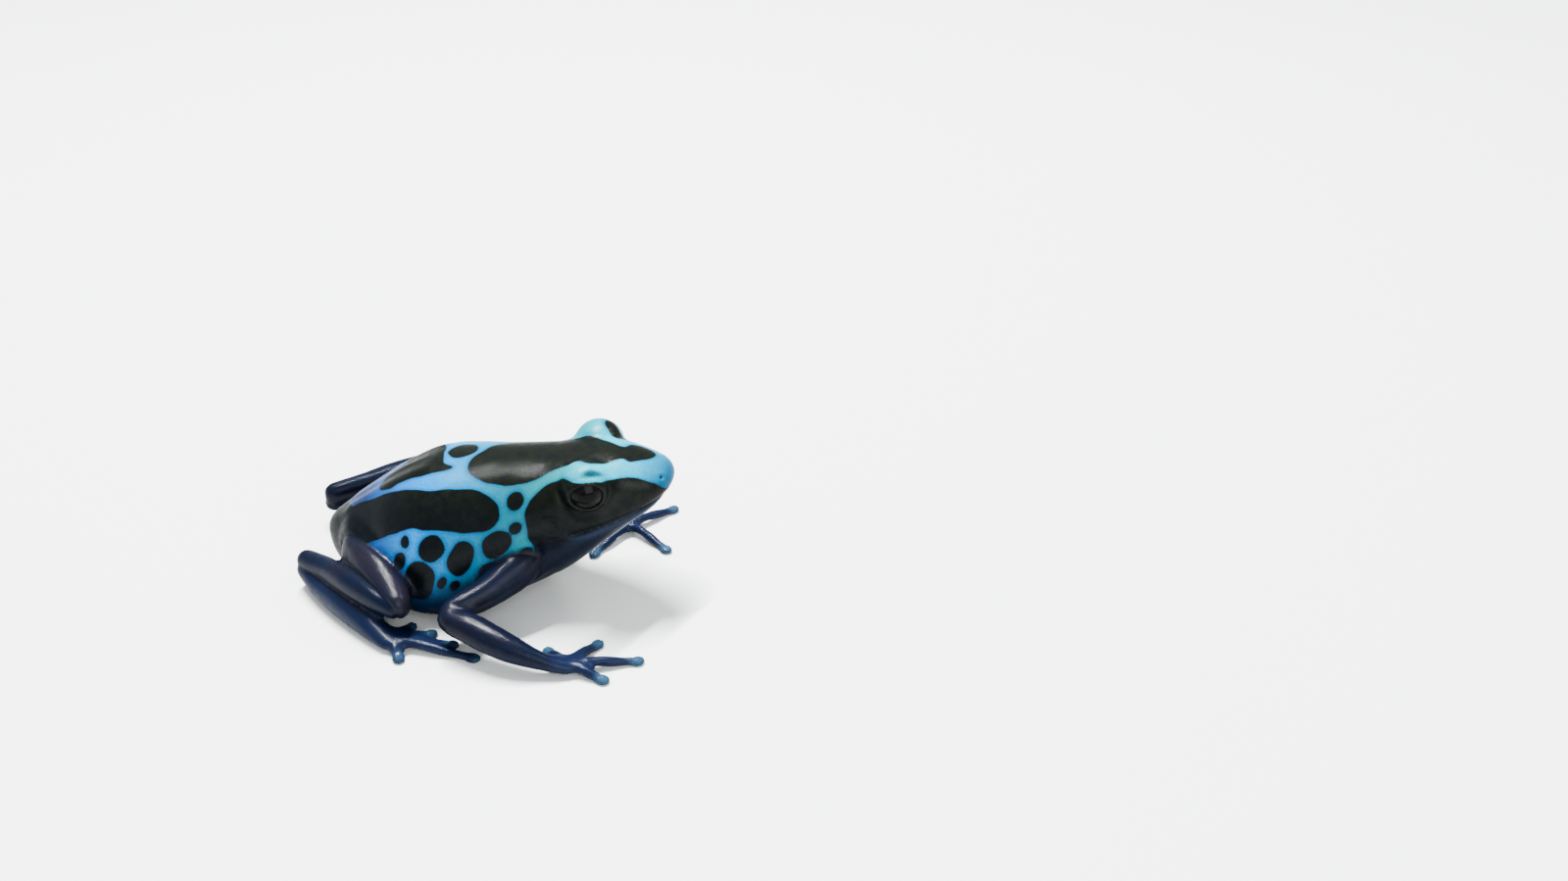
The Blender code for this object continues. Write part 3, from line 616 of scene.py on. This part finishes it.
def unrolled(points):
    """Where points lie along the body, and their turn round its long axis from the back."""
    bend = np.maximum(points[:, 0] - NECK_PLACE[0], 0) * math.tan(HEAD_TURN)
    height = np.interp(points[:, 0], *np.transpose(AXIS_HEIGHTS))
    return points[:, 0], np.degrees(np.arctan2(points[:, 1] - MIDLINE - bend, points[:, 2] - height))


def turned_near(turn, middle):
    """Turns counted so that they don't jump near the middle one."""
    return (turn - middle + 180) % 360 - 180 + middle


def smooth_ring(rows):
    """A smooth closed curve through the rows."""
    rows = np.array(rows, float)
    shares = np.arange(CURVE_STEPS)[:, None] / CURVE_STEPS
    spans = []
    for index in range(len(rows)):
        before, start, end, after = (rows[(index + step) % len(rows)] for step in (-1, 0, 1, 2))
        spans.append(0.5 * (2 * start + (end - before) * shares
                            + (2 * before - 5 * start + 4 * end - after) * shares ** 2
                            + (3 * start - before - 3 * end + after) * shares ** 3))
    return np.vstack(spans)


def patch_edge(along, turn, rows):
    """How far outside a patch's outline each place lies, in millimetres, and less than zero inside."""
    ring = smooth_ring(rows) * (1, GIRTH_PER_DEGREE)
    middle = (ring[:, 1].max() + ring[:, 1].min()) / 2 / GIRTH_PER_DEGREE
    places = np.column_stack((along, turned_near(turn, middle) * GIRTH_PER_DEGREE))
    edge = np.full(len(places), EDGE_REACH)
    low, high = ring.min(axis=0) - EDGE_REACH, ring.max(axis=0) + EDGE_REACH
    near = np.all((places > low) & (places < high), axis=1)
    places = places[near]
    distance = np.full(len(places), np.inf)
    inside = np.zeros(len(places), bool)
    for start, end in zip(ring, np.roll(ring, -1, axis=0)):
        span = end - start
        share = np.clip((places - start) @ span / (span @ span), 0, 1)
        distance = np.minimum(distance, np.linalg.norm(places - start - share[:, None] * span, axis=1))
        crosses = (start[1] > places[:, 1]) != (end[1] > places[:, 1])
        rise = span[1] if span[1] else 1e-9
        inside ^= crosses & (places[:, 0] < start[0] + (places[:, 1] - start[1]) * span[0] / rise)
    edge[near] = np.where(inside, -distance, distance)
    return edge


def spot_edge(along, turn, spot):
    """How far outside an oval spot each place lies, in millimetres, and less than zero inside."""
    middle, spot_turn, half_length, half_turn = spot
    share = np.hypot((along - middle) / half_length, (turned_near(turn, spot_turn) - spot_turn) / half_turn)
    return np.minimum((share - 1) * min(half_length, half_turn * GIRTH_PER_DEGREE), EDGE_REACH)


def marked(piece, name, values):
    """Keeps one value at each point of the piece, for its material to read."""
    layer = piece.data.attributes.new(name, "FLOAT", "POINT")
    layer.data.foreach_set("value", values.astype(np.float32))


def nearest_of(kinds):
    """How far each point lies from the nearest piece of these kinds."""
    return np.min([reach for name, reach in reaches.items() if name.startswith(kinds)], axis=0)


def on_kinds(*kinds):
    """One on pieces of these kinds, and less towards the rest of the flesh."""
    others = tuple(name for name in flesh_names if not name.startswith(kinds))
    return ramp(nearest_of(others) - nearest_of(kinds), *KIND_FADE)


noise.seed_set(WOBBLE_SEED)
wobble = np.array([noise.noise_vector(Vector(point) / WOBBLE_SIZE) for point in points]) * WOBBLE
along, turn = unrolled(points)
along = along + wobble[:, 0]
turn = turn + wobble[:, 1] / GIRTH_PER_DEGREE
rump_wave = sum(height * np.cos(np.radians(turn * count + start)) for height, count, start in RUMP_WAVES)
dark_edge = np.minimum(along - RUMP_EDGE + rump_wave, EDGE_REACH)
for rows in PATCHES.values():
    dark_edge = np.minimum(dark_edge, patch_edge(along, turn, rows))
for spot in SPOTS:
    dark_edge = np.minimum(dark_edge, spot_edge(along, turn, spot))
head = head_place(points)
above = above_mouth(head)
in_mouth = ramp(head[:, 0] - MOUTH_CORNER[0], *LIP_SETS_IN)
# Painted shade along the closed line of the mouth and in the nostril pits
line = np.maximum(in_mouth * hill(above, MOUTH_SHADE_WIDTH), hill(from_place(head, NOSTRIL), NOSTRIL_SHADE_WIDTH))
# The pads of the hind feet are dimmed as painted shade under the body
pads = (1 - ramp(from_pad, *PAD_FADE)) * np.where(points[:, 0] > HAND_START, 1, SHADED_HIND_PAD_SHARE)
marked(skin, "dark_edge", dark_edge)
marked(skin, "limb_edge", nearest_of(BODY_KINDS) - nearest_of(LIMB_KINDS))
# Painted light, reflected up from below onto the lower lip
marked(skin, "lower_lip_light", in_mouth * ridge(above, LIP_LIGHT_BAND))
marked(skin, "mouth_and_nostril_shade", line)
marked(skin, "lid_shade", ramp(-spot_edge(along, turn, LID_SHADE), -LID_SHADE_SOFTNESS, LID_SHADE_SOFTNESS))
marked(skin, "pad", pads)
# How far round under the body a point lies: there the net darkens, partly its own colour and partly painted
# shade
marked(skin, "underside", ramp(np.abs(turn), *UNDERSIDE_TURNS))
# Painted shade in the creases where the limbs fold
marked(skin, "fold", crease_shade)
marked(skin, "thigh", on_kinds("thigh"))
marked(skin, "hand", on_kinds("hand", "foot"))


# The skin's finish
# Real skin of this frog is wet and finely granular. Blue goes from turquoise on the head through
# sky blue to violet at the rump, the patches are black with an olive tint on top, partly their own
# and partly a painted reflection, and the limbs are deep indigo.
# The last stops darken the blue towards the front of the snout as painted shade
NET_COLOURS = (
    (0.0, (0.004, 0.006, 0.014, 1)), (0.16, (0.009, 0.016, 0.058, 1)), (0.26, (0.016, 0.085, 0.270, 1)),
    (0.36, (0.010, 0.200, 0.480, 1)), (0.47, (0.010, 0.165, 0.310, 1)), (0.57, (0.012, 0.130, 0.180, 1)),
    (0.70, (0.016, 0.165, 0.165, 1)), (0.84, (0.022, 0.330, 0.400, 1)), (0.93, (0.014, 0.215, 0.320, 1)),
    (1.0, (0.006, 0.075, 0.135, 1)),
)
NET_FROM = -20
NET_TO = 24
NET_DEEP = (0.006, 0.040, 0.110, 1)
NET_CLOUDS = ((0.3, (0.82, 0.82, 0.86, 1)), (0.7, (1.12, 1.10, 1.08, 1)))
PATCH_BLACK = (0.0023, 0.0036, 0.0049, 1)
PATCH_OLIVE = (0.0045, 0.0060, 0.0030, 1)
LIMB_INDIGO = (0.0030, 0.0058, 0.0165, 1)
LIMB_VIOLET = (0.0047, 0.0052, 0.0118, 1)
THIGH_TAUPE = (0.0105, 0.0095, 0.0155, 1)
HAND_BLUE = (0.0055, 0.0100, 0.0290, 1)
PAD_BLUE = (0.026, 0.060, 0.098, 1)
LIP_REFLECTED_LIGHT = (0.010, 0.017, 0.034, 1)
DEEP_NAVY = (0.003, 0.006, 0.018, 1)
CLOUD_SIZE = 5.0
MOTTLE_SIZE = 0.9
GRANULE_SIZE = 0.15
GRANULE_SOFTNESS = 0.6
FINE_GRAIN_SIZE = 0.07
FINE_GRAIN_DETAIL = 2.0
EDGE_SOFTNESS = 0.07
EDGE_UNEVENNESS = 0.05
LIMB_EDGE = (-0.9, 0.5)
LIMB_EDGE_UNEVENNESS = 0.15
NET_RIM = (0.6, 0.05)
NET_RIM_DARKNESS = 0.45
GRANULE_DARKNESS = 0.28
GRANULE_EDGE = (0.25, 0.6)
GRANULE_DOME = (0.0, 0.7)
LOW_NET_SHADE = (7.0, 2.6)
LOW_NET_SHADE_DARKNESS = 0.88
LOW_LIMB_SHADE = (3.6, 1.0)
LOW_LIMB_SHADE_DARKNESS = 0.85
LIMB_MOTTLE_DARKNESS = 0.35
LIMB_MOTTLE = (0.4, 0.75)
OLIVE_REFLECTION_HEIGHTS = (11, 17)
OLIVE_LEAST = 0.35
NET_UNDERSIDE_AND_SHADE_SHARE = 0.6
PATCH_UNDERSIDE_SHARE = 0.75
LID_SHADE_SHARE = 0.85
PAD_SHARE = 0.75
FOLD_SHADE_SHARE = 0.55
MOUTH_AND_NOSTRIL_SHADE_SHARE = 0.8
RELIEF_DEPTH = 0.026
RELIEF_SHARE = 0.42
FINE_RELIEF = 0.5
MOTTLE_RELIEF = 0.15
SKIN_ROUGHNESS = (0.36, 0.5)
SKIN_SHINE = 0.03
WET_WEIGHTS = (0.08625, 0.115)
WET_ROUGHNESS = 0.09
WET_INDEX = 1.7

# The values of a grain that count as none of it and as all of it, from wide to firm
WIDE_GRAIN = (0.2, 0.8)
PLAIN_GRAIN = (0.3, 0.7)
FIRM_GRAIN = (0.35, 0.65)


def read(tree, name):
    """One value kept at the points of the piece."""
    return shader_part(tree, "ShaderNodeAttribute", attribute_name=name).outputs["Fac"]


def between(tree, value, low, high, to_low=0.0, to_high=1.0, curve="SMOOTHSTEP"):
    """A value brought from one range to another, held at its ends."""
    inputs = {"Value": value, "From Min": low, "From Max": high, "To Min": to_low, "To Max": to_high}
    return shader_part(tree, "ShaderNodeMapRange", inputs, interpolation_type=curve).outputs["Result"]


def math_of(tree, kind, one, other):
    """Two values worked together."""
    return shader_part(tree, "ShaderNodeMath", {0: one, 1: other}, operation=kind).outputs["Value"]


def share_of(tree, name, share):
    """A value kept at the points of the piece, times a share."""
    return math_of(tree, "MULTIPLY", read(tree, name), share)


def mixed(tree, share, one, other, kind="MIX"):
    """Two colours mixed by a share."""
    inputs = {0: share, 6: one, 7: other}
    part = shader_part(tree, "ShaderNodeMix", inputs, data_type="RGBA", blend_type=kind)
    return part.outputs[2]


def colour_ramp(tree, share, stops):
    """A colour read from a row of stops."""
    part = shader_part(tree, "ShaderNodeValToRGB", {"Fac": share})
    elements = part.color_ramp.elements
    for element, (position, colour) in ((elements[0], stops[0]), (elements[1], stops[-1])):
        element.position = position
        element.color = colour
    for position, colour in stops[1:-1]:
        elements.new(position).color = colour
    return part.outputs["Color"]


material, tree, shader, place = new_material("wet_frog_skin")
parts = shader_part(tree, "ShaderNodeSeparateXYZ", {"Vector": place}).outputs
height = math_of(tree, "DIVIDE", parts["Z"], MILLIMETRE)
clouds = grain(tree, place, CLOUD_SIZE, GRAIN_DETAIL)
mottle = grain(tree, place, MOTTLE_SIZE, GRAIN_DETAIL)
fine = grain(tree, place, FINE_GRAIN_SIZE, FINE_GRAIN_DETAIL)
inputs = {"Vector": place, "Scale": 1 / (GRANULE_SIZE * MILLIMETRE), "Smoothness": GRANULE_SOFTNESS}
granules = shader_part(tree, "ShaderNodeTexVoronoi", inputs, feature="SMOOTH_F1").outputs["Distance"]

# The blue net, darker at its edges and between its granules, with painted shade low on the flanks and under
# the belly
lengthwise = between(tree, parts["X"], NET_FROM * MILLIMETRE, NET_TO * MILLIMETRE, curve="LINEAR")
net = colour_ramp(tree, lengthwise, NET_COLOURS)
unevenness = between(tree, fine, *PLAIN_GRAIN, -EDGE_UNEVENNESS, EDGE_UNEVENNESS)
patch_rim = math_of(tree, "ADD", read(tree, "dark_edge"), unevenness)
net = mixed(tree, between(tree, patch_rim, *NET_RIM, 0.0, NET_RIM_DARKNESS), net, NET_DEEP)
net = mixed(tree, between(tree, granules, *GRANULE_EDGE, 0.0, GRANULE_DARKNESS), net, NET_DEEP)
net = mixed(tree, 1.0, net, colour_ramp(tree, clouds, NET_CLOUDS), "MULTIPLY")
# Painted shade darkens the net low on the body; under the belly it turns a darker navy, partly its own
# colour and partly painted shade
net = mixed(tree, between(tree, height, *LOW_NET_SHADE, 0.0, LOW_NET_SHADE_DARKNESS), net, DEEP_NAVY)
net = mixed(tree, share_of(tree, "underside", NET_UNDERSIDE_AND_SHADE_SHARE), net, DEEP_NAVY)
net = mixed(tree, share_of(tree, "lid_shade", LID_SHADE_SHARE), net, LIMB_INDIGO)

# The black patches, with an olive tint on top that is partly their own tone and partly a painted
# reflection of green surroundings, and navy below
olive_and_reflection = math_of(tree, "MULTIPLY", between(tree, height, *OLIVE_REFLECTION_HEIGHTS),
                between(tree, mottle, *FIRM_GRAIN, OLIVE_LEAST, 1.0))
patch = mixed(tree, olive_and_reflection, PATCH_BLACK, PATCH_OLIVE)
patch = mixed(tree, share_of(tree, "underside", PATCH_UNDERSIDE_SHARE), patch, LIMB_INDIGO)
# The lower lip gets a painted reflection of light from below
patch = mixed(tree, read(tree, "lower_lip_light"), patch, LIP_REFLECTED_LIGHT)
body = mixed(tree, between(tree, patch_rim, EDGE_SOFTNESS, -EDGE_SOFTNESS), net, patch)

# The indigo limbs, painted shade in the folds, and the blue pads over all
limb = mixed(tree, between(tree, clouds, *FIRM_GRAIN), LIMB_INDIGO, LIMB_VIOLET)
limb = mixed(tree, read(tree, "thigh"), limb, THIGH_TAUPE)
limb = mixed(tree, read(tree, "hand"), limb, HAND_BLUE)
# Painted shade darkens the limbs low down, but not the hands and feet
low = between(tree, height, *LOW_LIMB_SHADE, 0.0, LOW_LIMB_SHADE_DARKNESS)
limb = mixed(tree, math_of(tree, "SUBTRACT", low, read(tree, "hand")), limb, DEEP_NAVY)
limb = mixed(tree, between(tree, mottle, *LIMB_MOTTLE, 0.0, LIMB_MOTTLE_DARKNESS), limb, DEEP_NAVY)
unevenness = between(tree, mottle, *PLAIN_GRAIN, -LIMB_EDGE_UNEVENNESS, LIMB_EDGE_UNEVENNESS)
limb_rim = math_of(tree, "ADD", read(tree, "limb_edge"), unevenness)
colour = mixed(tree, between(tree, limb_rim, *LIMB_EDGE), body, limb)
colour = mixed(tree, share_of(tree, "pad", PAD_SHARE), colour, PAD_BLUE)
# Painted shade darkens the creases of the folds
colour = mixed(tree, share_of(tree, "fold", FOLD_SHADE_SHARE), colour, PATCH_BLACK)
# Painted shade along the mouth line and in the nostrils
colour = mixed(tree, share_of(tree, "mouth_and_nostril_shade", MOUTH_AND_NOSTRIL_SHADE_SHARE), colour, PATCH_BLACK)
tree.links.new(colour, shader.inputs["Base Color"])

# The fine relief and the wet coat over it
bumps = math_of(tree, "ADD", between(tree, granules, *GRANULE_DOME, 1.0, 0.0),
                between(tree, fine, *WIDE_GRAIN, 0.0, FINE_RELIEF))
bumps = math_of(tree, "ADD", bumps, between(tree, mottle, *WIDE_GRAIN, 0.0, MOTTLE_RELIEF))
skin_relief = relief(tree, bumps, RELIEF_DEPTH, RELIEF_SHARE)
tree.links.new(skin_relief, shader.inputs["Normal"])
tree.links.new(skin_relief, shader.inputs["Coat Normal"])
tree.links.new(between(tree, mottle, *PLAIN_GRAIN, *SKIN_ROUGHNESS), shader.inputs["Roughness"])
tree.links.new(between(tree, mottle, *FIRM_GRAIN, *WET_WEIGHTS), shader.inputs["Coat Weight"])
shader.inputs["Coat Roughness"].default_value = WET_ROUGHNESS
shader.inputs["Coat IOR"].default_value = WET_INDEX
shader.inputs["Specular IOR Level"].default_value = SKIN_SHINE
skin.data.materials.clear()
skin.data.materials.append(material)
pick(skin)
bpy.ops.object.shade_smooth()
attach(skin, "root")
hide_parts(*flesh_names)


# The eyes
# Each eye is one glossy black ball with a dark bronze iris and a level oval pupil, under a clear
# wet front that bulges a little. It sits deep in its socket and fills the opening of the lids.
EYE_RADIUS = 2.52
EYE_SEGMENTS = 96
EYE_RINGS = 64
CORNEA_BULGE = 0.1
CORNEA_REACH = math.radians(48)
PUPIL_WIDTH = 0.42
PUPIL_HEIGHT = 0.3
IRIS_RADIUS = 0.64
PUPIL_BLACK = (0.002, 0.002, 0.002, 1)
IRIS_BRONZE = (0.008, 0.006, 0.004, 1)
EYE_RIM_BLACK = (0.003, 0.004, 0.005, 1)
IRIS_FLECK_SIZE = 0.12
IRIS_FLECKS = (0.35, 0.7)
IRIS_EDGE = (IRIS_RADIUS - 0.1, IRIS_RADIUS + 0.06)
PUPIL_EDGE = (1.06, 0.94)
EYE_ROUGHNESS = 0.3
EYE_SHINE = 0.03
EYE_COAT = 0.2
EYE_COAT_ROUGHNESS = 0.03
EYE_COAT_INDEX = 1.34

material, tree, shader, place = new_material("wet_eye")
uv = shader_part(tree, "ShaderNodeUVMap", uv_map="gaze").outputs["UV"]
parts = shader_part(tree, "ShaderNodeSeparateXYZ", {"Vector": uv}).outputs
inputs = {
    "X": math_of(tree, "DIVIDE", parts["X"], PUPIL_WIDTH),
    "Y": math_of(tree, "DIVIDE", parts["Y"], PUPIL_HEIGHT),
}
oval = shader_part(tree, "ShaderNodeCombineXYZ", inputs).outputs["Vector"]
from_pupil = shader_part(tree, "ShaderNodeVectorMath", {0: oval}, operation="LENGTH").outputs["Value"]
from_gaze = shader_part(tree, "ShaderNodeVectorMath", {0: uv}, operation="LENGTH").outputs["Value"]
flecks = grain(tree, place, IRIS_FLECK_SIZE, GRAIN_DETAIL)
iris = mixed(tree, between(tree, flecks, *IRIS_FLECKS), EYE_RIM_BLACK, IRIS_BRONZE)
iris = mixed(tree, between(tree, from_gaze, *IRIS_EDGE), iris, EYE_RIM_BLACK)
eye_colour = mixed(tree, between(tree, from_pupil, *PUPIL_EDGE), iris, PUPIL_BLACK)
tree.links.new(eye_colour, shader.inputs["Base Color"])
shader.inputs["Roughness"].default_value = EYE_ROUGHNESS
shader.inputs["Specular IOR Level"].default_value = EYE_SHINE
shader.inputs["Coat Weight"].default_value = EYE_COAT
shader.inputs["Coat Roughness"].default_value = EYE_COAT_ROUGHNESS
shader.inputs["Coat IOR"].default_value = EYE_COAT_INDEX

for side, node in ((-1, "eye_r"), (1, "eye_l")):
    centre, gaze, level, upward = eye_facts(side)
    bpy.ops.object.select_all(action="DESELECT")
    bpy.ops.mesh.primitive_uv_sphere_add(segments=EYE_SEGMENTS, ring_count=EYE_RINGS,
                                         radius=EYE_RADIUS * MILLIMETRE, location=(0, 0, 0))
    eye = bpy.context.object
    eye.name = node.replace("eye", "wet_eye")
    ball = points_of(eye)
    from_front = np.arccos(np.clip(ball[:, 2] / EYE_RADIUS, -1, 1))
    swell = CORNEA_BULGE * (1 - ramp(from_front, 0, CORNEA_REACH))
    gaze_places = ball[:, :2] / EYE_RADIUS
    set_points(eye, ball * (1 + swell / EYE_RADIUS)[:, None])
    layer = eye.data.uv_layers.new(name="gaze")
    corners = np.empty(len(eye.data.loops), int)
    eye.data.loops.foreach_get("vertex_index", corners)
    layer.data.foreach_set("uv", gaze_places[corners].ravel())
    turn_to_gaze = Matrix((level, upward, gaze)).transposed()
    eye.rotation_euler = turn_to_gaze.to_euler()
    eye.location = Vector(centre) * MILLIMETRE
    bpy.ops.object.transform_apply(location=True, rotation=True, scale=True)
    bpy.ops.object.shade_smooth()
    eye.data.materials.clear()
    eye.data.materials.append(material)
    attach(eye, "root")
    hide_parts(node)
